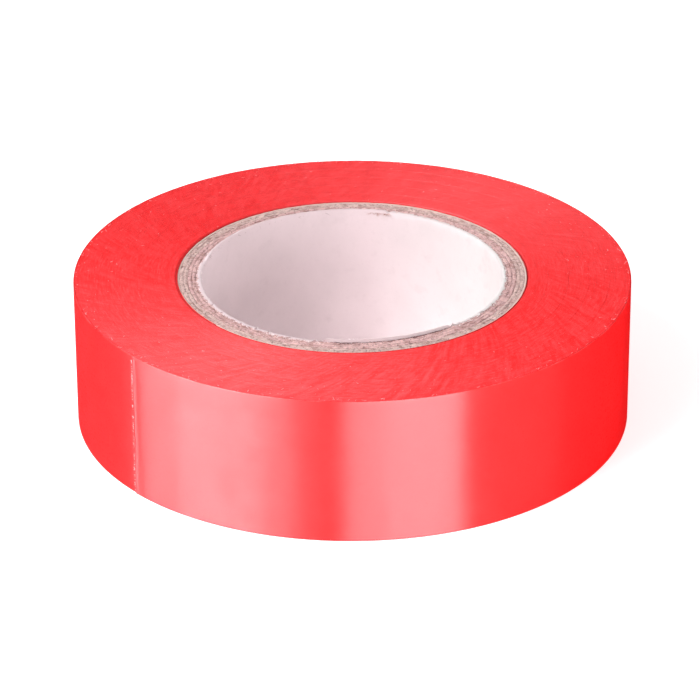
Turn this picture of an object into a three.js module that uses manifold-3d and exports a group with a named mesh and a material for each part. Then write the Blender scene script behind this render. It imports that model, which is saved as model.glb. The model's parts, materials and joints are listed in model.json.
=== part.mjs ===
// Electrical tape roll: red PVC insulating tape wound on a spiral-wound paper tube.
//
// Millimetres. The roll lies on its flat side: the winding axis is +Z, and the origin is on
// that axis, in the plane of the lower tape edges. The tape is one strip, wound as a spiral,
// so every layer is placed by its travel: the angle along the strip from the free end inwards,
// in degrees, counter-clockwise seen from above.

import * as THREE from 'three';
import { mergeVertices } from 'three/addons/utils/BufferGeometryUtils.js';
import Module from 'manifold-3d';

// Driving dimensions of the paper tube.
const BORE_RADIUS = 19.05;
const CORE_WALL = 3.1;
const CORE_RECESS = 0.15; // from the tape edges down to each end of the tube
const SKIN_THICKNESS = 0.2; // white liner inside the tube, cream cover outside it
const CORE_PLIES = 5; // board plies between the two skins
const GLUE_GAP = 0.02;

// Each ply is a band wound on the slant, and its edges meet in a butt seam.
const SEAM_GAP = 0.5; // along the circumference
const SEAM_TWIST = 4; // degrees per millimetre of height
const LINER_SEAM_ANGLE = 76;
const SEAM_STAGGER = 67; // degrees from one ply's seam to the next one's
const SEAM_STEPS = 12;

// Driving dimensions of the tape.
const TAPE_WIDTH = 19;
const FILM_THICKNESS = 0.09;
const ADHESIVE_THICKNESS = 0.02;
const CLEARANCE = 0.01; // keeps layers that lie on each other separate solids
const TURNS = 101;
const TURNS_PER_BAND = 20;
const FREE_END_ANGLE = 220.7; // where the strip ends on the outside of the roll
const TAIL_SEGMENTS = 6; // stiff lengths in the loose end, which peels off the roll
const SEGMENT_ANGLE = 10;
const FACET_ANGLE = 5;

// Sizes that follow from them.
const TURN_PITCH = FILM_THICKNESS + ADHESIVE_THICKNESS + 2 * CLEARANCE;
const CORE_RADIUS = BORE_RADIUS + CORE_WALL;
const ROLL_RADIUS = CORE_RADIUS + (TURNS + 1) * TURN_PITCH;
const CORE_LENGTH = TAPE_WIDTH - 2 * CORE_RECESS;
const PLY_THICKNESS =
  (CORE_WALL - 2 * SKIN_THICKNESS - (CORE_PLIES + 2) * GLUE_GAP) / CORE_PLIES;
const TAIL_ANGLE = TAIL_SEGMENTS * SEGMENT_ANGLE;
const BANDS = (TURNS - 1) / TURNS_PER_BAND;

const wasm = await Module();
wasm.setup();

const red = { color: 0xfb3034, roughness: 0.28, metalness: 0 };
const MATERIALS = {
  film: red,
  winding: { ...red, roughness: 0.45 },
  adhesive: { color: 0xc8262c, roughness: 0.7, metalness: 0 },
  liner: { color: 0xf4efee, roughness: 0.85, metalness: 0 },
  board: { color: 0xb79c93, roughness: 0.95, metalness: 0 },
  cover: { color: 0xe9dccd, roughness: 0.85, metalness: 0 },
};

function makePart(name, geometry, material) {
  const mesh = new THREE.Mesh(geometry, new THREE.MeshStandardMaterial(MATERIALS[material]));
  mesh.name = name;
  return mesh;
}

function pointAt(angle, radius) {
  const turned = THREE.MathUtils.degToRad(angle);
  return new THREE.Vector2(radius * Math.cos(turned), radius * Math.sin(turned));
}

// A point of the strip: its outer face is at depth 0, and each whole turn is one pitch deeper.
function stripPoint(travel, depth) {
  return pointAt(FREE_END_ANGLE + travel, ROLL_RADIUS - (TURN_PITCH * travel) / 360 - depth);
}

function extrude(outline, hole, height) {
  const shape = new THREE.Shape(outline);
  if (hole) shape.holes.push(new THREE.Path(hole));
  return new THREE.ExtrudeGeometry(shape, { depth: height, bevelEnabled: false });
}

function circle(radius) {
  const points = [];
  for (let turned = 0; turned < 360; turned += FACET_ANGLE) {
    points.push(pointAt(FREE_END_ANGLE + turned, radius));
  }
  return points;
}

// Once round the strip's spiral, closed by the radial step of one pitch.
function spiral(travel, depth) {
  const points = [];
  for (let turned = 0; turned <= 360; turned += FACET_ANGLE) {
    points.push(stripPoint(travel + turned, depth));
  }
  return points;
}

// Many turns as one ring, from the layer at `travel` inwards.
function windingBand(travel, turns) {
  const inside = turns * TURN_PITCH - CLEARANCE;
  return extrude(spiral(travel, 0), spiral(travel, inside), TAPE_WIDTH);
}

// One layer of a length of strip, such as its film. The ends stop short of the next length.
function stripLayer(from, to, depth, thickness) {
  const inset = THREE.MathUtils.radToDeg(CLEARANCE / ROLL_RADIUS);
  const outer = [];
  const inner = [];
  for (let travel = from; travel <= to; travel += FACET_ANGLE) {
    const place = THREE.MathUtils.clamp(travel, from + inset, to - inset);
    outer.push(stripPoint(place, depth));
    inner.push(stripPoint(place, depth + thickness));
  }
  return extrude([...outer, ...inner.reverse()], null, TAPE_WIDTH);
}

function filmLayer(from, to) {
  return stripLayer(from, to, 0, FILM_THICKNESS);
}

function adhesiveLayer(from, to) {
  return stripLayer(from, to, FILM_THICKNESS + CLEARANCE, ADHESIVE_THICKNESS);
}

function toSolid(geometry) {
  const bare = geometry.clone();
  bare.deleteAttribute('normal');
  bare.deleteAttribute('uv');
  const merged = mergeVertices(bare);
  return new wasm.Manifold(
    new wasm.Mesh({
      numProp: 3,
      vertProperties: merged.getAttribute('position').array,
      triVerts: new Uint32Array(merged.index.array),
    }),
  );
}

function toGeometry(solid) {
  const mesh = solid.getMesh();
  const geometry = new THREE.BufferGeometry();
  geometry.setAttribute('position', new THREE.BufferAttribute(mesh.vertProperties, 3));
  geometry.setIndex(new THREE.BufferAttribute(mesh.triVerts, 1));
  geometry.computeVertexNormals();
  return geometry;
}

// A thin blade on a helix that crosses one ply, at `angle` where it meets the upper end.
function seamBlade(innerRadius, outerRadius, angle) {
  const overreach = SEAM_GAP / 2;
  const width = outerRadius - innerRadius + 2 * overreach;
  const blade = new THREE.BoxGeometry(width, SEAM_GAP, TAPE_WIDTH, 1, 1, SEAM_STEPS);
  blade.translate((innerRadius + outerRadius) / 2, 0, TAPE_WIDTH / 2);
  const place = new THREE.Vector3();
  const positions = blade.getAttribute('position');
  for (let i = 0; i < positions.count; i += 1) {
    place.fromBufferAttribute(positions, i);
    const turned = THREE.MathUtils.degToRad(angle + SEAM_TWIST * (TAPE_WIDTH - place.z));
    place.applyAxisAngle(new THREE.Vector3(0, 0, 1), turned);
    positions.setXYZ(i, place.x, place.y, place.z);
  }
  return blade;
}

// One layer of the paper tube, open at its seam.
function coreLayer(innerRadius, thickness, seamAngle) {
  const outerRadius = innerRadius + thickness;
  const ring = extrude(circle(outerRadius), circle(innerRadius), CORE_LENGTH);
  ring.translate(0, 0, CORE_RECESS);
  const blade = seamBlade(innerRadius, outerRadius, seamAngle);
  return toGeometry(toSolid(ring).subtract(toSolid(blade)));
}

function paperCore() {
  const core = new THREE.Group();
  core.add(
    makePart('core_liner', coreLayer(BORE_RADIUS, SKIN_THICKNESS, LINER_SEAM_ANGLE), 'liner'),
  );
  const firstPly = BORE_RADIUS + SKIN_THICKNESS + GLUE_GAP;
  for (let ply = 1; ply <= CORE_PLIES; ply += 1) {
    const radius = firstPly + (ply - 1) * (PLY_THICKNESS + GLUE_GAP);
    const seam = LINER_SEAM_ANGLE + ply * SEAM_STAGGER;
    core.add(makePart(`core_ply_${ply}`, coreLayer(radius, PLY_THICKNESS, seam), 'board'));
  }
  const coverRadius = CORE_RADIUS - GLUE_GAP - SKIN_THICKNESS;
  const coverSeam = LINER_SEAM_ANGLE + (CORE_PLIES + 1) * SEAM_STAGGER;
  core.add(makePart('core_cover', coreLayer(coverRadius, SKIN_THICKNESS, coverSeam), 'cover'));
  return core;
}

function threeDigits(number) {
  return String(number).padStart(3, '0');
}

// The wound tape under the last turn, in bands of turns counted from the core outwards.
function woundTape() {
  const winding = new THREE.Group();
  for (let band = 0; band < BANDS; band += 1) {
    const first = band * TURNS_PER_BAND + 1;
    const last = first + TURNS_PER_BAND - 1;
    const name = `tape_turns_${threeDigits(first)}_${threeDigits(last)}`;
    winding.add(makePart(name, windingBand(360 * (TURNS - last), TURNS_PER_BAND), 'winding'));
  }
  return winding;
}

// The part of the last turn that stays on the roll when the tail is lifted.
function lastTurn() {
  const turn = new THREE.Group();
  turn.add(makePart('last_turn_film', filmLayer(TAIL_ANGLE, 360), 'film'));
  turn.add(makePart('last_turn_adhesive', adhesiveLayer(TAIL_ANGLE, 360), 'adhesive'));
  return turn;
}

// The lengths of the loose end, numbered from the roll out to the free end.
function looseTail() {
  const tail = new THREE.Group();
  for (let segment = 1; segment <= TAIL_SEGMENTS; segment += 1) {
    const from = TAIL_ANGLE - segment * SEGMENT_ANGLE;
    const to = from + SEGMENT_ANGLE;
    tail.add(makePart(`tail_film_${segment}`, filmLayer(from, to), 'film'));
    tail.add(makePart(`tail_adhesive_${segment}`, adhesiveLayer(from, to), 'adhesive'));
  }
  return tail;
}

const roll = new THREE.Group();
roll.add(paperCore(), woundTape(), lastTurn(), looseTail());

export default roll;
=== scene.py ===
"""Looks of the electrical tape roll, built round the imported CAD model. Metres, +Z up."""

import json
import math

import bpy
import numpy as np
from mathutils import Matrix, Quaternion, Vector, noise


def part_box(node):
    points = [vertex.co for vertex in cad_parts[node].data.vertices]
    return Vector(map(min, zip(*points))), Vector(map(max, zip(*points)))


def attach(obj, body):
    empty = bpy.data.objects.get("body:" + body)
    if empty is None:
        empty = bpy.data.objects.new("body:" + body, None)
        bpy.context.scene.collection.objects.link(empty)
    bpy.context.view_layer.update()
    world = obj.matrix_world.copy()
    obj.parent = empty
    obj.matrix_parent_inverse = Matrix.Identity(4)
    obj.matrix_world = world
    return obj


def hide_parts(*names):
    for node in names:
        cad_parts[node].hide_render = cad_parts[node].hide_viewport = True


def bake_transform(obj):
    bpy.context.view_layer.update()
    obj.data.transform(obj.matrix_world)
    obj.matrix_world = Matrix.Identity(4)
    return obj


MM = 0.001
AXIS = Vector((0, 0, 1))

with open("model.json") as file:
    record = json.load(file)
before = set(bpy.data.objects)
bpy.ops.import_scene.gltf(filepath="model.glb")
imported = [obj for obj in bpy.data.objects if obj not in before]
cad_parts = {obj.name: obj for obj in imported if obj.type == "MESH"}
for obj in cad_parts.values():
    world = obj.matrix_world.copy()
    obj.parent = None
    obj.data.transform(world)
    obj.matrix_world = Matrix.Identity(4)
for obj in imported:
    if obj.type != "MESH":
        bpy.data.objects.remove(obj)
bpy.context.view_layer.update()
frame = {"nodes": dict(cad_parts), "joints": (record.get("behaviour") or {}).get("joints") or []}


# ---------------------------------------------------------------- sizes, read from the frame

def node_radii(node):
    """Least and greatest distance of a CAD node's corners from the winding axis."""
    corners = frame["nodes"][node].data.vertices
    distances = [math.hypot(v.co.x, v.co.y) for v in corners]
    return min(distances), max(distances)


def plan_angle(point):
    """Degrees from +X towards +Y."""
    return math.degrees(math.atan2(point[1], point[0])) % 360


HINGES = [Vector(joint["pos_m"]) for joint in frame["joints"]]
SEGMENTS = len(HINGES)
SEGMENT_ANGLE = (plan_angle(HINGES[0]) - plan_angle(HINGES[-1])) / (SEGMENTS - 1)
TAIL_ANGLE = SEGMENTS * SEGMENT_ANGLE
FREE_END_ANGLE = plan_angle(HINGES[-1]) - SEGMENT_ANGLE

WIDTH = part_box("last_turn_film")[1].z
ROLL_RADIUS = node_radii("tail_film_%d" % SEGMENTS)[1]
CORE_RADIUS = node_radii("core_cover")[1]
PLIES = sum(name.startswith("core_ply_") for name in frame["nodes"])
PLY_FROM = node_radii("core_ply_1")[0]
PLY_THICKNESS = (node_radii("core_ply_%d" % PLIES)[1] - PLY_FROM) / PLIES
BANDS = sorted(name for name in frame["nodes"] if name.startswith("tape_turns_"))
TURNS_PER_BAND = 20  # as the bands' names say
TURN_PITCH = (ROLL_RADIUS - CORE_RADIUS) / (len(BANDS) * TURNS_PER_BAND + 2)
# The visible layers also fill the clearances that the CAD keeps between its solids.
FILM_THICKNESS = 0.78 * TURN_PITCH
ADHESIVE_THICKNESS = 0.2 * TURN_PITCH


# ---------------------------------------------------------------- mesh helpers

def smooth_noise(values, seed):
    """Smooth random curve through one random number per whole step of values, from -1 to 1."""
    values = np.asarray(values, float)
    low = int(np.floor(values.min()))
    count = int(np.ceil(values.max())) - low + 2
    knots = np.random.default_rng(seed).uniform(-1, 1, count)
    place = values - low
    index = np.floor(place).astype(int)
    part = place - index
    part = part * part * (3 - 2 * part)
    return knots[index] * (1 - part) + knots[index + 1] * part


def ripple(degrees, seed, lowest, highest):
    """Periodic random curve of an angle, with waves from lowest to highest per turn, about -1 to 1."""
    rng = np.random.default_rng(seed)
    waves = np.unique(np.round(np.geomspace(lowest, highest, 9)).astype(int))
    total = np.zeros_like(np.asarray(degrees, float))
    for wave in waves:
        phase = rng.uniform(0, 2 * math.pi)
        total += rng.uniform(0.4, 1) * np.sin(np.radians(degrees) * wave + phase)
    return total / math.sqrt(len(waves))


def loft(name, sections, closed, along, material, sharp=40):
    """Closed mesh through sections, an array [section, corner, xyz] of closed outlines.

    closed joins the last section to the first; otherwise both ends are capped. along is each
    section's distance along the piece, used as u; v is the distance round the outline."""
    count, corners = sections.shape[:2]
    rows = np.arange(count if closed else count - 1)
    a = rows[:, None] * corners + np.arange(corners)[None, :]
    b = rows[:, None] * corners + (np.arange(corners)[None, :] + 1) % corners
    total = count * corners
    quads = np.stack([(a + corners) % total, (b + corners) % total, b, a], axis=-1).reshape(-1, 4)
    faces = quads.tolist()
    if not closed:
        faces.append(list(range(corners)))
        faces.append(list(range(total - corners, total))[::-1])
    mesh = bpy.data.meshes.new(name)
    mesh.from_pydata(sections.reshape(-1, 3).tolist(), [], faces)
    add_uv(mesh, sections, np.asarray(along, float), closed)
    mesh.polygons.foreach_set("use_smooth", [True] * len(mesh.polygons))
    mesh.set_sharp_from_angle(angle=math.radians(sharp))
    mesh.materials.append(material)
    piece = bpy.data.objects.new(name, mesh)
    bpy.context.scene.collection.objects.link(piece)
    return piece


def add_uv(mesh, sections, along, closed):
    """UV map "strip", in metres: u along the piece, v round its outline; end caps get none."""
    count, corners = sections.shape[:2]
    sides = np.linalg.norm(np.roll(sections[0], -1, axis=0) - sections[0], axis=1)
    around = np.concatenate([[0], np.cumsum(sides)])
    if closed:
        along = np.append(along, 2 * along[-1] - along[-2])
    rows = count if closed else count - 1
    u0 = np.repeat(along[:rows], corners)
    u1 = np.repeat(along[1:rows + 1], corners)
    v0 = np.tile(around[:-1], rows)
    v1 = np.tile(around[1:], rows)
    quads = np.stack([u1, v0, u1, v1, u0, v1, u0, v0], axis=-1).reshape(-1)
    uv = np.zeros(len(mesh.loops) * 2)
    uv[:len(quads)] = quads
    mesh.uv_layers.new(name="strip").data.foreach_set("uv", uv)


def on_spiral(travel, depth, height):
    """Point of the strip at travel degrees from its free end, depth below its outer face."""
    turned = np.radians(FREE_END_ANGLE + travel)
    radius = ROLL_RADIUS - TURN_PITCH * travel / 360 - depth
    return np.stack([radius * np.cos(turned), radius * np.sin(turned), height], axis=-1)


def at_polar(degrees, radius, height):
    turned = np.radians(degrees)
    x, y, z = np.broadcast_arrays(radius * np.cos(turned), radius * np.sin(turned), height)
    return np.stack([x, y, z], axis=-1)


# ---------------------------------------------------------------- node helpers

def new_material(name, roughness, specular):
    material = bpy.data.materials.new(name)
    material.use_nodes = True
    shader = material.node_tree.nodes["Principled BSDF"]
    shader.inputs["Roughness"].default_value = roughness
    shader.inputs["Specular IOR Level"].default_value = specular
    return material, material.node_tree, shader


def put(tree, kind, inputs=None, **settings):
    """Adds a node. inputs maps a socket's name or number to a value or to another node's output."""
    made = tree.nodes.new(kind)
    for key, value in settings.items():
        setattr(made, key, value)
    for key, value in (inputs or {}).items():
        if isinstance(value, bpy.types.NodeSocket):
            tree.links.new(value, made.inputs[key])
        else:
            made.inputs[key].default_value = value
    return made


def maths(tree, operation, *values):
    inputs = dict(enumerate(values))
    return put(tree, "ShaderNodeMath", inputs, operation=operation).outputs[0]


def add(tree, first, second):
    return maths(tree, "ADD", first, second)


def times(tree, first, second):
    return maths(tree, "MULTIPLY", first, second)


def vector(tree, x, y, z):
    return put(tree, "ShaderNodeCombineXYZ", {0: x, 1: y, 2: z}).outputs[0]


def texture_noise(tree, place, scale, detail=2.0, roughness=0.5):
    inputs = {"Vector": place, "Scale": scale, "Detail": detail, "Roughness": roughness}
    return put(tree, "ShaderNodeTexNoise", inputs).outputs["Fac"]


def remap(tree, value, low, high, to_low=0.0, to_high=1.0):
    inputs = {"Value": value, "From Min": low, "From Max": high,
              "To Min": to_low, "To Max": to_high}
    return put(tree, "ShaderNodeMapRange", inputs).outputs["Result"]


def mix_colours(tree, share, first, second):
    """Mix of two colours, each a socket or an (r, g, b)."""
    made = put(tree, "ShaderNodeMix", data_type="RGBA")
    for socket, value in ((made.inputs[0], share), (made.inputs[6], first), (made.inputs[7], second)):
        if isinstance(value, bpy.types.NodeSocket):
            tree.links.new(value, socket)
        elif isinstance(value, tuple):
            socket.default_value = (*value, 1)
        else:
            socket.default_value = value
    return made.outputs[2]


def bump(tree, shader, height, distance):
    made = put(tree, "ShaderNodeBump", {"Height": height, "Distance": distance})
    tree.links.new(made.outputs["Normal"], shader.inputs["Normal"])


def object_place(tree):
    return put(tree, "ShaderNodeTexCoord").outputs["Object"]


def parts_of(tree, place):
    return put(tree, "ShaderNodeSeparateXYZ", {0: place}).outputs


def polar_place(tree):
    """(x, y, z, distance from the axis, angle in radians) of the shaded point."""
    parts = parts_of(tree, object_place(tree))
    squares = add(tree, maths(tree, "POWER", parts[0], 2.0), maths(tree, "POWER", parts[1], 2.0))
    radius = maths(tree, "SQRT", squares)
    angle = maths(tree, "ARCTAN2", parts[1], parts[0])
    return parts[0], parts[1], parts[2], radius, angle


def lengthwise_gloss(tree, shader, anisotropy):
    """Gloss that is sharp along the strip and spread across it, as calendered film has."""
    tangent = put(tree, "ShaderNodeTangent", direction_type="UV_MAP", uv_map="strip")
    tree.links.new(tangent.outputs["Tangent"], shader.inputs["Tangent"])
    shader.inputs["Anisotropic"].default_value = anisotropy
    shader.inputs["Anisotropic Rotation"].default_value = 0.25


# ---------------------------------------------------------------- materials

RED = (0.92, 0.0045, 0.0068)
RED_PALE = (0.97, 0.048, 0.054)
RED_DEEP = (0.80, 0.0020, 0.0035)


def film_material():
    """Glossy calendered PVC: lines along the strip, soft waves and clouds, and rims gone pale in patches,
    partly wear and partly a painted highlight where the rounded edge catches light.
    """
    material, tree, shader = new_material("red_film", 0.36, 0.80)
    strip = put(tree, "ShaderNodeUVMap", uv_map="strip").outputs[0]
    place = object_place(tree)
    u = parts_of(tree, strip)[0]
    z = parts_of(tree, place)[2]
    along = vector(tree, times(tree, u, 90.0), times(tree, z, 4200.0), 0.0)
    lines = texture_noise(tree, along, 1.0, 3.0)
    waves = texture_noise(tree, place, 130.0, 1.0)
    cloud = texture_noise(tree, place, 330.0, 4.0, 0.6)
    grain = texture_noise(tree, place, 3600.0, 2.0, 0.6)
    colour = mix_colours(tree, remap(tree, cloud, 0.3, 0.7), RED, (0.90, 0.0065, 0.008))
    # Pale rims: partly painted highlight where the rounded edge catches light, partly pale wear; grain
    # and cloud break it into patches.
    rim = remap(tree, maths(tree, "ABSOLUTE", maths(tree, "SUBTRACT", z, WIDTH / 2)),
                WIDTH / 2 - 0.13 * MM, WIDTH / 2 - 0.02 * MM)
    worn = times(tree, remap(tree, grain, 0.35, 0.65, 0.1, 0.8), remap(tree, cloud, 0.40, 0.62))
    pale = times(tree, rim, worn)
    colour = mix_colours(tree, pale, colour, (0.95, 0.12, 0.13))
    tree.links.new(colour, shader.inputs["Base Color"])
    gloss = add(
        tree, remap(tree, lines, 0.3, 0.7, -0.015, 0.02), remap(tree, cloud, 0.3, 0.7, 0.325, 0.375))
    gloss = add(tree, gloss, remap(tree, grain, 0.56, 0.70, 0.0, 0.16))
    tree.links.new(gloss, shader.inputs["Roughness"])
    fine = add(tree, times(tree, lines, 0.10), times(tree, grain, 0.13))
    height = add(tree, times(tree, waves, 4.2), times(tree, cloud, 0.55))
    bump(tree, shader, add(tree, height, fine), 0.01 * MM)
    lengthwise_gloss(tree, shader, 1.0)
    return material


def cut_edge_material():
    """The knife-cut side of the winding: fine rings, swept knife marks, and a painted shade line at the
    core.
    """
    material, tree, shader = new_material("red_cut_edge", 0.65, 0.50)
    _, _, z, radius, angle = polar_place(tree)
    place = object_place(tree)
    turns = maths(tree, "DIVIDE", radius, TURN_PITCH)
    dash = times(tree, angle, 14.0)
    ring = texture_noise(tree, vector(tree, times(tree, turns, 0.55), dash, z), 1.0, 3.0, 0.7)
    broad = texture_noise(tree, vector(tree, times(tree, turns, 0.14), 5.0, 0.0), 1.0, 2.0)
    grown = maths(tree, "LOGARITHM", maths(tree, "DIVIDE", radius, CORE_RADIUS), math.e)
    sweep = add(tree, angle, times(tree, grown, 0.75))
    swept = vector(
        tree, times(tree, maths(tree, "COSINE", sweep), 46.0),
        times(tree, maths(tree, "SINE", sweep), 46.0), times(tree, radius, 300.0))
    knife = texture_noise(tree, swept, 1.0, 4.0, 0.7)
    patch = texture_noise(tree, place, 160.0, 2.0)
    grain = texture_noise(tree, place, 3000.0, 3.0, 0.7)
    rings_share = remap(tree, patch, 0.38, 0.62, 0.25, 0.75)
    marks = put(tree, "ShaderNodeMix", {0: rings_share, 2: knife, 3: ring}).outputs[0]
    colour = mix_colours(tree, remap(tree, marks, 0.44, 0.62), RED, RED_PALE)
    colour = mix_colours(tree, remap(tree, marks, 0.47, 0.36, 0.0, 0.38), colour, RED_DEEP)
    colour = mix_colours(tree, remap(tree, broad, 0.50, 0.70, 0.0, 0.45), colour, RED_DEEP)
    specks = remap(tree, grain, 0.58, 0.70, 0.0, 0.7)
    colour = mix_colours(tree, specks, colour, (0.95, 0.09, 0.10))
    # Painted shade: the colour darkens towards the core, standing for the shade in the gap between the
    # tape and the tube.
    inner = remap(tree, radius, CORE_RADIUS + 0.45 * MM, CORE_RADIUS + 0.1 * MM, 0.0, 0.85)
    colour = mix_colours(tree, inner, colour, (0.50, 0.010, 0.012))
    tree.links.new(colour, shader.inputs["Base Color"])
    rough = add(
        tree, remap(tree, knife, 0.35, 0.65, 0.60, 0.70), remap(tree, ring, 0.3, 0.7, -0.05, 0.05))
    tree.links.new(rough, shader.inputs["Roughness"])
    height = add(tree, times(tree, marks, 0.8), times(tree, grain, 1.1))
    bump(tree, shader, height, 0.018 * MM)
    lengthwise_gloss(tree, shader, 0.60)
    return material


def adhesive_material():
    """Clear tacky rubber over the back of the red film, with faint peel lines across it."""
    material, tree, shader = new_material("adhesive_coat", 0.5, 0.28)
    strip = put(tree, "ShaderNodeUVMap", uv_map="strip").outputs[0]
    u, v, _ = parts_of(tree, strip)
    stretched = vector(tree, times(tree, u, 1800.0), times(tree, v, 60.0), 0.0)
    chatter = texture_noise(tree, stretched, 1.0, 3.0)
    blotch = texture_noise(tree, strip, 420.0, 4.0, 0.6)
    colour = mix_colours(tree, remap(tree, blotch, 0.3, 0.7), (0.52, 0.010, 0.013), (0.68, 0.030, 0.034))
    tree.links.new(colour, shader.inputs["Base Color"])
    tree.links.new(remap(tree, chatter, 0.3, 0.7, 0.38, 0.6), shader.inputs["Roughness"])
    bump(tree, shader, add(tree, chatter, blotch), 0.01 * MM)
    return material


def board_material(name, light, dark, seed):
    """Sawn board: matted fibres, brown pits, pale fluff, and a dark glue line at each ply edge."""
    material, tree, shader = new_material(name, 0.92, 0.2)
    x, y, z, radius, angle = polar_place(tree)
    offset = add(tree, z, 0.1 * seed)
    place = vector(tree, x, y, offset)
    turned = vector(tree, times(tree, angle, 30.0), times(tree, radius, 5200.0), offset)
    fibres = texture_noise(tree, turned, 1.0, 4.0, 0.7)
    mottle = texture_noise(tree, place, 1300.0, 4.0, 0.75)
    pits = texture_noise(tree, place, 2600.0, 2.0, 0.6)
    shares = maths(tree, "DIVIDE", maths(tree, "SUBTRACT", radius, PLY_FROM), PLY_THICKNESS)
    warped = add(tree, shares, remap(tree, mottle, 0.2, 0.8, -0.30, 0.30))
    from_edge = maths(tree, "ABSOLUTE", maths(tree, "SUBTRACT", warped, maths(tree, "ROUND", warped)))
    patchy = texture_noise(tree, place, 330.0, 2.0)
    blotches = texture_noise(tree, place, 1050.0, 3.0, 0.65)
    line = times(tree, remap(tree, from_edge, 0.17, 0.05), remap(tree, patchy, 0.38, 0.60, 0.0, 0.9))
    colour = mix_colours(tree, remap(tree, mottle, 0.34, 0.64), dark, light)
    pale = tuple(min(1, 1.35 * c) for c in light)
    deep = tuple(0.42 * c for c in dark)
    colour = mix_colours(tree, remap(tree, fibres, 0.52, 0.68, 0.0, 0.75), colour, pale)
    colour = mix_colours(tree, line, colour, tuple(0.62 * c for c in dark))
    colour = mix_colours(tree, remap(tree, blotches, 0.50, 0.66, 0.0, 0.60), colour, (0.30, 0.14, 0.12))
    colour = mix_colours(tree, remap(tree, blotches, 0.46, 0.36, 0.0, 0.35), colour, pale)
    colour = mix_colours(tree, remap(tree, pits, 0.57, 0.66, 0.0, 0.85), colour, deep)
    tree.links.new(colour, shader.inputs["Base Color"])
    bump(tree, shader, add(tree, mottle, fibres), 0.10 * MM)
    return material


def paper_material(name, light, dark, painted_light_colour):
    """Smooth paper with faint clouds, rub marks and fine fibres.

    The colour changes towards +X to a painted, less rosy shade, which evens out the lighting's tint on
    the liner; it isn't a property of the paper."""
    material, tree, shader = new_material(name, 0.8, 0.25)
    place = object_place(tree)
    clouds = texture_noise(tree, place, 150.0, 3.0, 0.55)
    rubs = texture_noise(tree, place, 420.0, 3.0, 0.6)
    fibres = texture_noise(tree, place, 2300.0, 3.0, 0.7)
    # Painted light: the tint shifts towards +X to even out the lighting's tint on the liner.
    across = remap(tree, parts_of(tree, place)[0], 2 * MM, 18 * MM)
    tint = mix_colours(tree, across, light, painted_light_colour)
    colour = mix_colours(tree, remap(tree, clouds, 0.3, 0.7, 0.0, 0.07), tint, (0.0, 0.0, 0.0))
    colour = mix_colours(tree, remap(tree, rubs, 0.58, 0.78, 0.0, 0.30), colour, dark)
    colour = mix_colours(tree, remap(tree, fibres, 0.56, 0.75, 0.0, 0.16), colour, dark)
    tree.links.new(colour, shader.inputs["Base Color"])
    tree.links.new(remap(tree, fibres, 0.3, 0.7, 0.72, 0.88), shader.inputs["Roughness"])
    bump(tree, shader, add(tree, fibres, times(tree, clouds, 2.0)), 0.012 * MM)
    return material


def fibre_material(name, light, dark):
    """Loose strands: each one its own shade."""
    material, tree, shader = new_material(name, 0.85, 0.3)
    island = put(tree, "ShaderNodeNewGeometry").outputs["Random Per Island"]
    place = object_place(tree)
    streak = texture_noise(tree, place, 5000.0, 2.0)
    colour = mix_colours(tree, island, dark, light)
    colour = mix_colours(tree, remap(tree, streak, 0.3, 0.7, 0.0, 0.3), colour, dark)
    tree.links.new(colour, shader.inputs["Base Color"])
    return material


def burr_material(name, dark, light):
    """Film torn thin and gone pale."""
    material, tree, shader = new_material(name, 0.5, 0.4)
    place = object_place(tree)
    patch = texture_noise(tree, place, 2500.0, 2.0)
    colour = mix_colours(tree, remap(tree, patch, 0.3, 0.7), dark, light)
    tree.links.new(colour, shader.inputs["Base Color"])
    return material


def floor_material():
    """White light table."""
    material, tree, shader = new_material("pale_floor", 0.6, 0.3)
    place = object_place(tree)
    cloud = texture_noise(tree, place, 6.0, 3.0)
    colour = mix_colours(tree, cloud, (0.80, 0.80, 0.80), (0.84, 0.84, 0.84))
    tree.links.new(colour, shader.inputs["Base Color"])
    shader.inputs["Emission Color"].default_value = (1, 1, 1, 1)
    shader.inputs["Emission Strength"].default_value = 0.55
    return material


# ---------------------------------------------------------------- wound tape

BAND_COLUMNS = 360
LAST_TURN_INSIDE = len(BANDS) * TURNS_PER_BAND + 1
STEP_INSET = 0.01  # degrees: the two columns that make the spiral's step lie this close to it


def turn_height(travel, end):
    """How far the tape's edge stands above the mean cut, turn by turn; end is +1 or -1."""
    seed = 11 if end > 0 else 12
    turns = travel / 360
    worn = np.clip((turns - LAST_TURN_INSIDE + 2.4) / 2.0, 0, 1)
    wander = 0.006 * smooth_noise(turns * 1.3, seed) + 0.012 * smooth_noise(turns / 5, seed + 2)
    return MM * wander - WORN_DEPTH * worn * worn


FILM_EDGE = (0.03, 0.84)  # where a turn's film edge starts and ends, in shares of the turn
EDGE_LEAN = 0.016 * MM  # each film edge slopes outward by this, for its sheen
WORN_DEPTH = 0.14 * MM  # how far the outermost turns are rounded off at the rim
CUT_INSET = 0.02 * MM
WALL_INSET = 0.05 * MM
BAND_GAP = 0.004 * MM  # keeps neighbouring bands apart


def band_face(band_travel, columns, end, inward):
    """Rows of the cut face: each turn's film edge, two rows wide, then the adhesive line."""
    turns = np.arange(TURNS_PER_BAND)[:, None]
    depths = (turns + np.array([FILM_EDGE])).reshape(-1)
    drops = np.tile([EDGE_LEAN, 0.0], TURNS_PER_BAND)
    travel = band_travel + columns[:, None] + 360 * depths[None, :]
    sway = 0.012 * MM * ripple(columns, 21 if end > 0 else 22, 2, 14)
    lift = turn_height(travel, end) + sway[:, None] - drops[None, :] - CUT_INSET
    middle = WIDTH / 2
    height = middle + end * (middle + lift)
    face = on_spiral(band_travel + columns[:, None], depths[None, :] * TURN_PITCH, height)
    return face if inward else face[:, ::-1]


CUT, GLUE, SKIN = range(3)  # the materials of a band, by index


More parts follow.
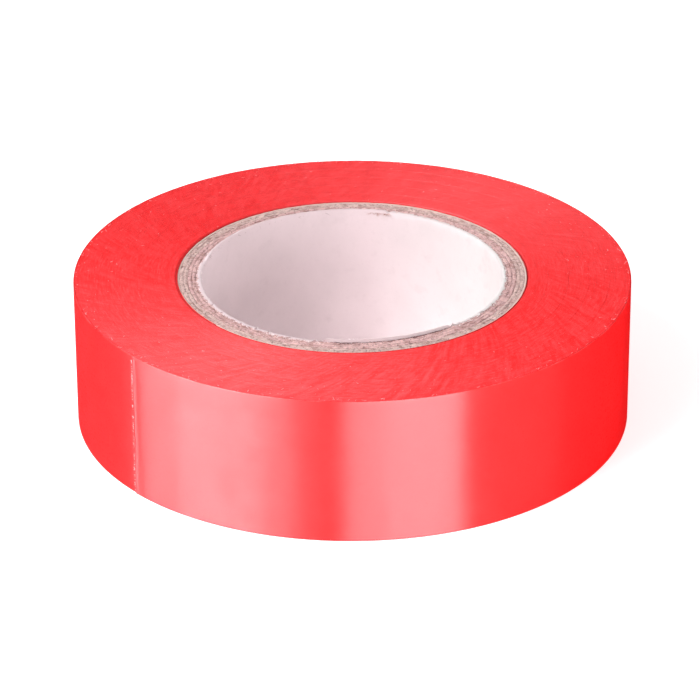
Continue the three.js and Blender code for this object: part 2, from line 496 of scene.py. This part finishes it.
def wound_band(name, band_travel, cut_edge, glue, skin):
    """One ring of turns, its cut faces striped with film edges and adhesive lines."""
    columns = np.linspace(STEP_INSET, 360 - STEP_INSET, BAND_COLUMNS)
    top = band_face(band_travel, columns, 1, True)
    bottom = band_face(band_travel, columns, -1, False)
    inner_depth = TURNS_PER_BAND * TURN_PITCH - BAND_GAP
    walls = np.array([WALL_INSET, WIDTH / 2, WIDTH - WALL_INSET])
    travel = band_travel + columns[:, None]
    walls_up = np.broadcast_to(walls, (len(columns), len(walls)))
    inside = on_spiral(travel, np.full((1, len(walls)), inner_depth), walls_up[:, ::-1])
    outside = on_spiral(travel, np.zeros((1, len(walls))), walls_up)
    sections = np.concatenate([top, inside, bottom, outside], axis=1)
    along = np.radians(columns) * ROLL_RADIUS
    piece = loft(name, sections, True, along, cut_edge, sharp=8)
    piece.data.materials.append(glue)
    piece.data.materials.append(skin)
    surfaces = np.full(sections.shape[1], GLUE)
    rows, wall = top.shape[1], len(walls)
    surfaces[0:rows:2] = CUT
    surfaces[rows + wall:2 * rows + wall:2] = CUT
    surfaces[-wall:-1] = SKIN
    piece.data.polygons.foreach_set("material_index", np.tile(surfaces, len(columns)))
    return piece


def build_winding(cut_edge, glue, skin):
    for index, node in enumerate(BANDS):
        turns_outside = (len(BANDS) - 1 - index) * TURNS_PER_BAND + 1
        piece = wound_band("wound_" + node, 360 * turns_outside, cut_edge, glue, skin)
        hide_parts(node)
        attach(piece, "roll")


# ---------------------------------------------------------------- last turn and tail

EDGE_RADIUS = 0.03 * MM
EDGE_BULGE = 0.35 * EDGE_RADIUS
EDGE_ZONE = 0.015  # share of the half width, at each rim, where the faces round off
STRIP_ROWS = 15  # across the width, on each face of the strip
RIM_INSET = 0.004 * MM


def lies_flat(travel, share):
    """Lift of a stretch of strip that lies on the turn below."""
    return 0.0


def strip_section(travel, depth, thickness, lift):
    """Outline across the strip at each travel: up its outer face and down its inner one."""
    middle = WIDTH / 2
    half = middle - EDGE_RADIUS
    flat = 1 - EDGE_ZONE
    across = np.concatenate([
        [-1.0, -flat], np.linspace(-0.96, 0.96, STRIP_ROWS - 4), [flat, 1.0]])
    wander = 0.016 * MM * smooth_noise(travel / 1.7, 31)
    rims = (WIDTH - RIM_INSET + wander, RIM_INSET - wander)
    rows = []
    for face, inward, rim in ((depth, 1, rims[0]), (depth + thickness, -1, rims[1])):
        for share in across[::inward]:
            bulge = EDGE_BULGE * np.clip((abs(share) - flat) / EDGE_ZONE, 0, 1)
            height = middle + half * share + 0 * travel
            rows.append(on_spiral(travel, face + inward * bulge - lift(travel, share), height))
        rows.append(on_spiral(travel, depth + 0.5 * thickness - lift(travel, inward), rim))
    return np.stack(rows, axis=1)


def strip_piece(name, travels, depth, thickness, material, lift=lies_flat, ragged=None):
    sections = strip_section(travels, depth, thickness, lift)
    if ragged is not None:
        sections = ragged(sections, travels)
    along = np.radians(travels) * ROLL_RADIUS
    return loft(name, sections, False, along, material)


def free_end_lift(travel, share):
    """The cut end stands up as a small bead, with a shallow dip behind it that widens downwards."""
    distance = np.radians(travel) * ROLL_RADIUS
    downward = 0.5 * (1 - share)
    bead = 0.030 * MM * np.exp(-((distance - 0.12 * MM) / (0.26 * MM)) ** 2)
    dip_at = (0.62 + 0.45 * downward) * MM
    dip_wide = (0.20 + 0.35 * downward) * MM
    dip = 0.007 * MM * (0.5 + downward) * np.exp(-((distance - dip_at) / dip_wide) ** 2)
    return bead - dip


def ragged_end(sections, travels):
    """Shifts the cut edge back and forth along the strip, most at the end itself."""
    heights = sections[:, :, 2]
    jag = 0.07 * MM * smooth_noise(heights / (0.55 * MM), 41)
    jag = jag + 0.03 * MM * smooth_noise(heights / (0.17 * MM), 42)
    lean = 0.10 * MM * np.sin(heights / WIDTH * 2.2)
    distance = np.radians(travels)[:, None] * ROLL_RADIUS
    fade = np.clip(1 - distance / (0.8 * MM), 0, 1)
    shift = (jag + lean + 0.05 * MM) * fade / ROLL_RADIUS
    x, y = sections[:, :, 0], sections[:, :, 1]
    cosine, sine = np.cos(shift), np.sin(shift)
    return np.stack([x * cosine - y * sine, x * sine + y * cosine, heights], axis=-1)


FINE_END = 3.2  # degrees of the tail that get fine columns, at its free end
FINE_PEEL = 3.6  # and at the peel line


def tail_travels(segment):
    """Travels of the columns of one length of the tail, counted from the roll outwards."""
    start = TAIL_ANGLE - segment * SEGMENT_ANGLE
    stop = start + SEGMENT_ANGLE
    if segment == SEGMENTS:
        fine = np.linspace(start, start + FINE_END, 60)
        return np.concatenate([fine, np.linspace(start + FINE_END, stop, 18)[1:]])
    if segment == 1:
        fine = np.linspace(stop - FINE_PEEL, stop, 60)
        return np.concatenate([np.linspace(start, stop - FINE_PEEL, 16)[:-1], fine])
    return np.linspace(start, stop, 26)


PEEL_BEND = 2.2 * MM  # length over which the lifted tail would turn away from the roll; build_strip works out the point at this distance from the first hinge but does not use it


def build_strip(film, adhesive):
    layers = (
        ("film", 0.0, FILM_THICKNESS, film, "tape_film"),
        ("adhesive", FILM_THICKNESS, ADHESIVE_THICKNESS, adhesive, "tape_adhesive"),
    )
    for label, depth, thickness, material, slot in layers:
        travels = np.arange(TAIL_ANGLE, 360.01, 0.75)
        piece = strip_piece("last_turn_%s_skin" % label, travels, depth, thickness, material)
        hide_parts("last_turn_" + label)
        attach(piece, "roll")
        for segment in range(1, SEGMENTS + 1):
            last = segment == SEGMENTS
            piece = strip_piece(
                "tail_%s_skin_%d" % (label, segment), tail_travels(segment), depth, thickness,
                material, free_end_lift if last else lies_flat, ragged_end if last else None)
            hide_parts("tail_%s_%d" % (label, segment))
            start = HINGES[segment - 1]
            stop = Vector(on_spiral(TAIL_ANGLE - segment * SEGMENT_ANGLE, 0.0, start.z))
            if segment == 1:
                stop = start + (stop - start).normalized() * PEEL_BEND
            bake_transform(piece)


# ---------------------------------------------------------------- paper tube

CORE_COLUMNS = 720
CORE_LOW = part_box("core_ply_1")[0].z
CORE_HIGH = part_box("core_ply_1")[1].z
SAWN_DEPTH = 0.9 * MM  # the tube's walls are plain below this depth from each end
# How far a torn stretch of the liner's edge stands up, at the upper and the lower end.
LINER_STAND = {1: 0.34 * MM, -1: 0.06 * MM}
LOWER_LIP_TURN = 130  # degrees by which the lower end's lip is turned from the upper one's
# How far the saw has rolled the liner's edge outward: (degrees, share of a full lip).
LINER_LIP = (
    (0, 0.6), (20, 0.5), (40, 0.7), (60, 1.2), (74, 1.5), (76.5, 0.0), (160, 0.0), (172, 0.9),
    (200, 1.0), (256, 0.7), (261, 0.0), (306, 0.0), (318, 0.8), (340, 0.9), (360, 0.6),
)


def fibre_relief(place, seed, coarse, fine):
    """Random height of sawn board at each point, in metres."""
    heights = np.empty(place.shape[:2])
    for i, row in enumerate(place):
        for j, point in enumerate(row):
            at = Vector(point) + Vector((0, 0, 0.05 * seed))
            heights[i, j] = coarse * noise.noise(at * 900) + fine * noise.noise(at * 3200)
    return heights


def liner_lip(degrees, shift):
    """Share of a full lip at each angle, roughened; shift turns the table round the bore."""
    angles, shares = zip(*LINER_LIP)
    rough = 0.5 * ripple(degrees, 51, 45, 320)
    share = np.interp((degrees + shift) % 360, angles, shares)
    return np.clip(share + rough * np.sqrt(share), 0, 2)


def liner_piece(inner, outer, material):
    """Paper lining of the bore; its sawn edges are rolled outward over the board, and torn.

    Each end's outline runs from the board, over the lip, to the bore."""
    columns = np.linspace(0, 360, CORE_COLUMNS, endpoint=False)
    turned = columns[:, None]
    thickness = outer - inner
    ragged = 0.035 * MM * ripple(columns, 52, 30, 260)
    ends = []
    for end, edge in ((1, CORE_HIGH), (-1, CORE_LOW)):
        lip = liner_lip(columns, 0 if end > 0 else LOWER_LIP_TURN)
        stand = (1 - np.clip(lip * 2, 0, 1)) * (LINER_STAND[end] + ragged)
        outward = np.stack([
            0 * lip, 0.26 * lip * MM, 0.38 * lip * MM, 0.22 * lip * MM, 0 * lip,
            -0.5 * thickness + 0 * lip, -thickness + 0 * lip], axis=1)
        upward = np.stack([
            -0.45 * MM + 0 * lip, 0.005 * MM + stand, 0.03 * MM + stand,
            0.055 * MM * np.sqrt(lip) + stand, 0.04 * MM * lip + stand,
            -0.03 * MM * lip + stand, -0.20 * MM * lip + stand], axis=1)
        face = at_polar(turned, outer + outward, edge + end * upward)
        ends.append(face if end > 0 else face[:, ::-1])
    heights = np.linspace(CORE_LOW + SAWN_DEPTH, CORE_HIGH - SAWN_DEPTH, 9)
    walls = np.broadcast_to(heights, (len(columns), 9))
    inside = at_polar(turned, inner, walls[:, ::-1])
    outside = at_polar(turned, outer, walls[:, ::2])
    sections = np.concatenate([ends[0], inside, ends[1], outside], axis=1)
    return loft("core_liner_sawn", sections, True, np.radians(columns) * inner, material, sharp=75)


def core_layer(name, inner, outer, seed, material, relief, samples):
    """One wrap of the tube, with rough sawn ends whose edges are worn down."""
    columns = np.linspace(0, 360, CORE_COLUMNS, endpoint=False)
    radii = np.linspace(outer, inner, samples)
    middle, half = (inner + outer) / 2, (outer - inner) / 2
    worn = relief * 0.8 * MM * np.abs((radii - middle) / half) ** 3
    proud = relief * 0.5 * MM * ripple(columns, seed + 60, 2, 40)[:, None]
    parts = []
    for end, edge in ((1, CORE_HIGH), (-1, CORE_LOW)):
        face = at_polar(columns[:, None], radii[None, :], np.full((1, samples), edge))
        lift = fibre_relief(face, seed * (2 if end > 0 else 3), relief * MM, 0.6 * relief * MM)
        face[:, :, 2] += end * (lift + proud - worn - relief * 0.8 * MM)
        parts.append(face if end > 0 else face[:, ::-1])
    walls = np.linspace(CORE_LOW + SAWN_DEPTH, CORE_HIGH - SAWN_DEPTH, 5)
    outside = at_polar(columns[:, None], outer, np.broadcast_to(walls, (len(columns), 5)))
    inside = at_polar(columns[:, None], inner, np.broadcast_to(walls[::-1], (len(columns), 5)))
    sections = np.concatenate([parts[0], inside, parts[1], outside], axis=1)
    along = np.radians(columns) * outer
    return loft(name, sections, True, along, material, sharp=60)


def build_core(liner, boards, cover):
    pieces = [("core_liner", liner_piece(*node_radii("core_liner"), liner), "core_liner")]
    for ply in range(1, PLIES + 1):
        node = "core_ply_%d" % ply
        inner, outer = node_radii(node)
        piece = core_layer(node + "_sawn", inner, outer, ply, boards[ply - 1], relief=0.07, samples=7)
        pieces.append((node, piece, "core_board"))
    inner, outer = node_radii("core_cover")
    piece = core_layer("core_cover_sawn", inner, outer, PLIES + 1, cover, relief=0.03, samples=3)
    pieces.append(("core_cover", piece, "core_cover"))
    for node, piece, slot in pieces:
        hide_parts(node)
        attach(piece, "roll")


# ---------------------------------------------------------------- loose strands and burrs

def strand(points, width, verts, faces):
    """Adds a flat-sided tapering strand along a short run of points."""
    base = len(verts)
    count = len(points)
    for index, point in enumerate(points):
        ahead = points[min(index + 1, count - 1)] - points[max(index - 1, 0)]
        side = ahead.cross(AXIS + Vector((0.13, 0.07, 0))).normalized()
        rise = side.cross(ahead).normalized()
        taper = width * (1 - 0.75 * index / (count - 1))
        for turn in range(3):
            angle = 2 * math.pi * turn / 3
            verts.append(point + taper * (math.cos(angle) * side + math.sin(angle) * rise))
    for ring in range(count - 1):
        for turn in range(3):
            a = base + ring * 3 + turn
            b = base + ring * 3 + (turn + 1) % 3
            faces.append((a + 3, b + 3, b, a))
    faces.append((base, base + 1, base + 2))
    tip = base + (count - 1) * 3
    faces.append((tip + 2, tip + 1, tip))


def strands_piece(name, seeds, material, body="roll"):
    """One mesh of many strands. seeds gives (root, heading, length, width, curl) for each."""
    verts, faces = [], []
    for root, heading, length, width, curl in seeds:
        points = []
        for part in range(5):
            share = part / 4
            points.append(root + heading * length * share + curl * length * share * share)
        strand(points, width, verts, faces)
    mesh = bpy.data.meshes.new(name)
    mesh.from_pydata([tuple(v) for v in verts], [], faces)
    mesh.materials.append(material)
    piece = bpy.data.objects.new(name, mesh)
    bpy.context.scene.collection.objects.link(piece)
    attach(piece, body)


PRESSED = 0.25  # loose bits under the roll are pressed flat by its weight


def standing(end):
    """Share of their full height that loose bits keep at the upper (1) or lower (-1) end."""
    return 1 if end > 0 else PRESSED


def around(degrees, radius, height):
    return Vector(at_polar(degrees, radius, height))


def headings(degrees):
    """(outward, along) unit vectors at an angle."""
    cosine, sine = math.cos(math.radians(degrees)), math.sin(math.radians(degrees))
    return Vector((cosine, sine, 0)), Vector((-sine, cosine, 0))


def core_fluff(rng, count, angles, radii, longest, thickest, end=1, droop=0.0):
    """Strands lying on a sawn end of the tube, mostly along its plies."""
    seeds = []
    edge = CORE_HIGH if end > 0 else CORE_LOW
    for _ in range(count):
        degrees = rng.uniform(*angles)
        outward, along = headings(degrees)
        root = around(degrees, rng.uniform(*radii), edge - end * 0.05 * MM)
        heading = along * rng.choice([-1, 1]) + outward * rng.normal(0, 0.35)
        heading += AXIS * end * rng.uniform(0.02, 0.30) * standing(end)
        curl = outward * rng.normal(-0.6 * droop, 0.4) - AXIS * end * (rng.uniform(0.0, 0.3) + droop)
        length = rng.uniform(0.3, 1) * longest
        seeds.append((root, heading.normalized(), length, rng.uniform(0.4, 1) * thickest, curl))
    return seeds


def build_fluff():
    rng = np.random.default_rng(71)
    pale = fibre_material("pale_fibres", (0.86, 0.66, 0.62), (0.52, 0.37, 0.34))
    dark = fibre_material("dark_fibres_and_painted_shade", (0.36, 0.20, 0.19), (0.12, 0.05, 0.05))
    board_in = PLY_FROM
    board_out = PLY_FROM + PLIES * PLY_THICKNESS
    whole = (0, 360)
    upper = core_fluff(rng, 520, whole, (board_in, board_out), 0.8 * MM, 0.030 * MM)
    lower = core_fluff(rng, 400, whole, (board_in, board_out), 0.8 * MM, 0.030 * MM, end=-1)
    strands_piece("core_end_fluff", upper + lower, pale)
    edge = (board_in - 0.16 * MM, board_in + 0.12 * MM)
    # Dark strands along the bore's edge at 261 to 307 degrees make a dark line there. The drooping ones
    # at 84 to 172 degrees are painted shade, standing for the shade under the overhanging fibres. The
    # rest are dark board fibres.
    torn = core_fluff(rng, 240, (261, 307), edge, 1.0 * MM, 0.045 * MM)
    torn += core_fluff(rng, 90, (84, 172), edge, 0.7 * MM, 0.04 * MM, droop=0.2)
    torn += core_fluff(rng, 150, whole, (board_in + 0.4 * MM, board_out), 0.5 * MM, 0.030 * MM)
    torn += core_fluff(rng, 200, whole, (board_in - 0.1 * MM, board_out), 0.6 * MM, 0.035 * MM, end=-1)
    strands_piece("core_dark_fibres_and_painted_shade", torn, dark)
    brown = fibre_material("brown_fibres", (0.66, 0.40, 0.36), (0.42, 0.22, 0.19))
    tuft_edge = (board_in - 0.20 * MM, board_in - 0.02 * MM)
    tuft = core_fluff(rng, 170, (75, 83), tuft_edge, 0.6 * MM, 0.035 * MM, droop=0.45)
    strands_piece("core_seam_tuft", tuft, brown)
    white = fibre_material("white_fibres", (0.92, 0.84, 0.84), (0.70, 0.55, 0.55))
    lip_edge = (board_in - 0.05 * MM, board_in + 0.45 * MM)
    shreds = core_fluff(rng, 420, (150, 258), lip_edge, 0.5 * MM, 0.07 * MM)
    shreds += core_fluff(rng, 360, (306, 434), lip_edge, 0.45 * MM, 0.065 * MM)
    strands_piece("core_liner_shreds", shreds, white)


def burr(rng, degrees, radius, edge, end, size):
    """One sliver of film left standing by the knife."""
    outward, along = headings(degrees)
    root = around(degrees, radius, edge - end * 0.01 * MM)
    heading = along * rng.normal(0, 1) + outward * rng.normal(0, 0.5)
    heading += AXIS * end * rng.uniform(0.05, 0.4) * standing(end)
    curl = outward * rng.normal(0, 0.5) + along * rng.normal(0, 0.4)
    length = size * rng.uniform(0.08, 0.30) * MM
    width = size * rng.uniform(0.02, 0.055) * MM
    return root, heading.normalized(), length, width, curl


def build_burrs(pale, palest):
    rng = np.random.default_rng(83)
    seeds = []
    for end, count in ((1, 420), (-1, 220)):
        edge = WIDTH / 2 + end * WIDTH / 2
        for _ in range(count):
            near_rim = rng.random() < 0.45
            inset = rng.uniform(0.12, 0.5) * MM if near_rim else rng.gamma(1.6, 2.4) * MM
            radius = max(ROLL_RADIUS - TURN_PITCH - inset, CORE_RADIUS + 0.4 * MM)
            size = (1.5 if near_rim else 1.0) * standing(end)
            seeds.append(burr(rng, rng.uniform(0, 360), radius, edge - end * 0.02 * MM, end, size))
    strands_piece("knife_burrs", seeds, pale)
    snags = []
    for height in np.sort(rng.uniform(0.03, 0.97, 90)) * WIDTH:
        root = around(FREE_END_ANGLE + rng.uniform(-0.05, 0.15), ROLL_RADIUS + 0.01 * MM, height)
        outward, along = headings(FREE_END_ANGLE)
        heading = outward * rng.uniform(0.2, 0.6) - along * rng.uniform(0.4, 1)
        heading += AXIS * rng.normal(0, 0.6)
        length = rng.uniform(0.08, 0.24) * MM
        width = rng.uniform(0.04, 0.075) * MM
        snags.append((root, heading.normalized(), length, width, AXIS * 0.2))
    strands_piece("free_end_snags", snags, palest, "tail_%d" % SEGMENTS)


# ---------------------------------------------------------------- stage, lights and camera

# The camera, fitted to the roll's outline.
CAMERA_RISE = math.radians(26.523)
CAMERA_DISTANCE = 14.304 * ROLL_RADIUS
LENS_PER_SENSOR = 5.6586  # focal length over the sensor's width
AIM_YAW, AIM_PITCH, AIM_ROLL = (math.radians(a) for a in (0.033, -0.137, 0.206))


def build_camera():
    back = Vector((0, -math.cos(CAMERA_RISE), math.sin(CAMERA_RISE)))
    forward, right = -back, Vector((1, 0, 0))
    up = right.cross(forward)
    yaw = Quaternion(up, AIM_YAW)
    forward, right = yaw @ forward, yaw @ right
    pitch = Quaternion(right, AIM_PITCH)
    forward, up = pitch @ forward, pitch @ up
    roll = Quaternion(forward, AIM_ROLL)
    right, up = roll @ right, roll @ up
    data = bpy.data.cameras.new("camera")
    data.sensor_width = 36
    data.lens = LENS_PER_SENSOR * data.sensor_width
    data.clip_start = 0.01
    camera = bpy.data.objects.new("camera", data)
    place = Matrix((right, up, -forward)).transposed().to_4x4()
    place.translation = back * CAMERA_DISTANCE + AXIS * WIDTH / 2
    camera.matrix_world = place
    bpy.context.scene.collection.objects.link(camera)
    bpy.context.scene.camera = camera


def area_light(name, azimuth, rise, distance, size, radiance, gloss_only=False):
    """Soft box, size (width, height), that faces the roll. radiance is its brightness.

    A gloss_only light adds to reflections only; the others light matt surfaces only."""
    width, height = size
    data = bpy.data.lights.new(name, "AREA")
    data.shape = "RECTANGLE"
    data.size, data.size_y = width, height
    data.energy = radiance * math.pi * width * height
    light = bpy.data.objects.new(name, data)
    towards = around(azimuth, math.cos(math.radians(rise)), math.sin(math.radians(rise)))
    light.location = towards * distance
    light.rotation_euler = towards.to_track_quat("Z", "Y").to_euler()
    if gloss_only:
        data.color = STRIP_COLOUR
    light.visible_diffuse = not gloss_only
    light.visible_glossy = gloss_only
    bpy.context.scene.collection.objects.link(light)


STRIP_DISTANCE = 1.2
STRIP_COLOUR = (1.0, 0.94, 1.0)
# Reflected strips: (from azimuth, to azimuth, rise, height, brightness).
STRIPS = (
    (120, 178, 22, 0.8, 1.4),
    (178, 198, 22, 0.8, 23.0), (198, 222, 22, 0.8, 26.0), (222, 236, 22, 0.8, 21.5),
    (236, 248, 22, 0.8, 13.0), (248, 258, 22, 0.8, 4.0),
    (267, 282, 12, 0.42, 27.0), (282, 313, 12, 0.42, 36.0),
)
# Soft boxes: (name, azimuth, rise, distance, size, brightness).
SOFT_BOXES = (
    ("key_soft_box", 212, 42, 0.9, (0.6, 0.45), 10.8),
    ("fill_soft_box", 335, 9, 0.9, (0.7, 0.25), 6.0),
)
WORLD_BRIGHTNESS = 0.56
FLOOR_HALF_SIZE = 3.0
FLOOR_DROP = 0.02 * MM  # keeps the floor clear of the roll's lower face


def build_strips():
    """Tall lights side by side, all facing the roll."""
    for index, (start, stop, rise, height, radiance) in enumerate(STRIPS):
        half_angle = math.radians(stop - start) / 2
        width = 2 * STRIP_DISTANCE * math.cos(math.radians(rise)) * math.tan(half_angle)
        azimuth = (start + stop) / 2
        name = "strip_%d" % index
        area_light(name, azimuth, rise, STRIP_DISTANCE, (width, height), radiance, gloss_only=True)


def build_stage():
    signs = ((-1, -1), (1, -1), (1, 1), (-1, 1))
    corners = [(x * FLOOR_HALF_SIZE, y * FLOOR_HALF_SIZE, -FLOOR_DROP) for x, y in signs]
    mesh = bpy.data.meshes.new("floor")
    mesh.from_pydata(corners, [], [(0, 1, 2, 3)])
    mesh.materials.append(floor_material())
    floor = bpy.data.objects.new("floor", mesh)
    floor.visible_glossy = False
    bpy.context.scene.collection.objects.link(floor)
    for soft_box in SOFT_BOXES:
        area_light(*soft_box)
    build_strips()
    world = bpy.data.worlds.new("studio")
    world.use_nodes = True
    background = world.node_tree.nodes["Background"]
    background.inputs["Color"].default_value = (1, 1, 1, 1)
    background.inputs["Strength"].default_value = WORLD_BRIGHTNESS
    world.cycles_visibility.glossy = False
    bpy.context.scene.world = world
    bpy.context.scene.view_settings.view_transform = "Standard"


# ---------------------------------------------------------------- build

film = film_material()
cut_edge = cut_edge_material()
rosy = board_material("rosy_board", (0.66, 0.43, 0.42), (0.46, 0.27, 0.26), 1)
beige = board_material("beige_board", (0.63, 0.45, 0.42), (0.46, 0.31, 0.285), 2)
white_paper = paper_material("liner_paper", (0.70, 0.565, 0.585), (0.53, 0.41, 0.43), (0.66, 0.615, 0.61))
cream_paper = paper_material("cover_paper", (0.66, 0.50, 0.45), (0.48, 0.34, 0.30), (0.66, 0.50, 0.45))
adhesive = adhesive_material()

build_winding(cut_edge, adhesive, film)
build_strip(film, adhesive)
build_core(white_paper, [rosy, rosy, rosy, beige, beige], cream_paper)
build_fluff()
build_burrs(
    burr_material("pale_burrs", (0.95, 0.13, 0.14), (0.97, 0.30, 0.31)),
    burr_material("pale_snags", (0.97, 0.20, 0.21), (0.98, 0.44, 0.45)))
build_stage()
build_camera()
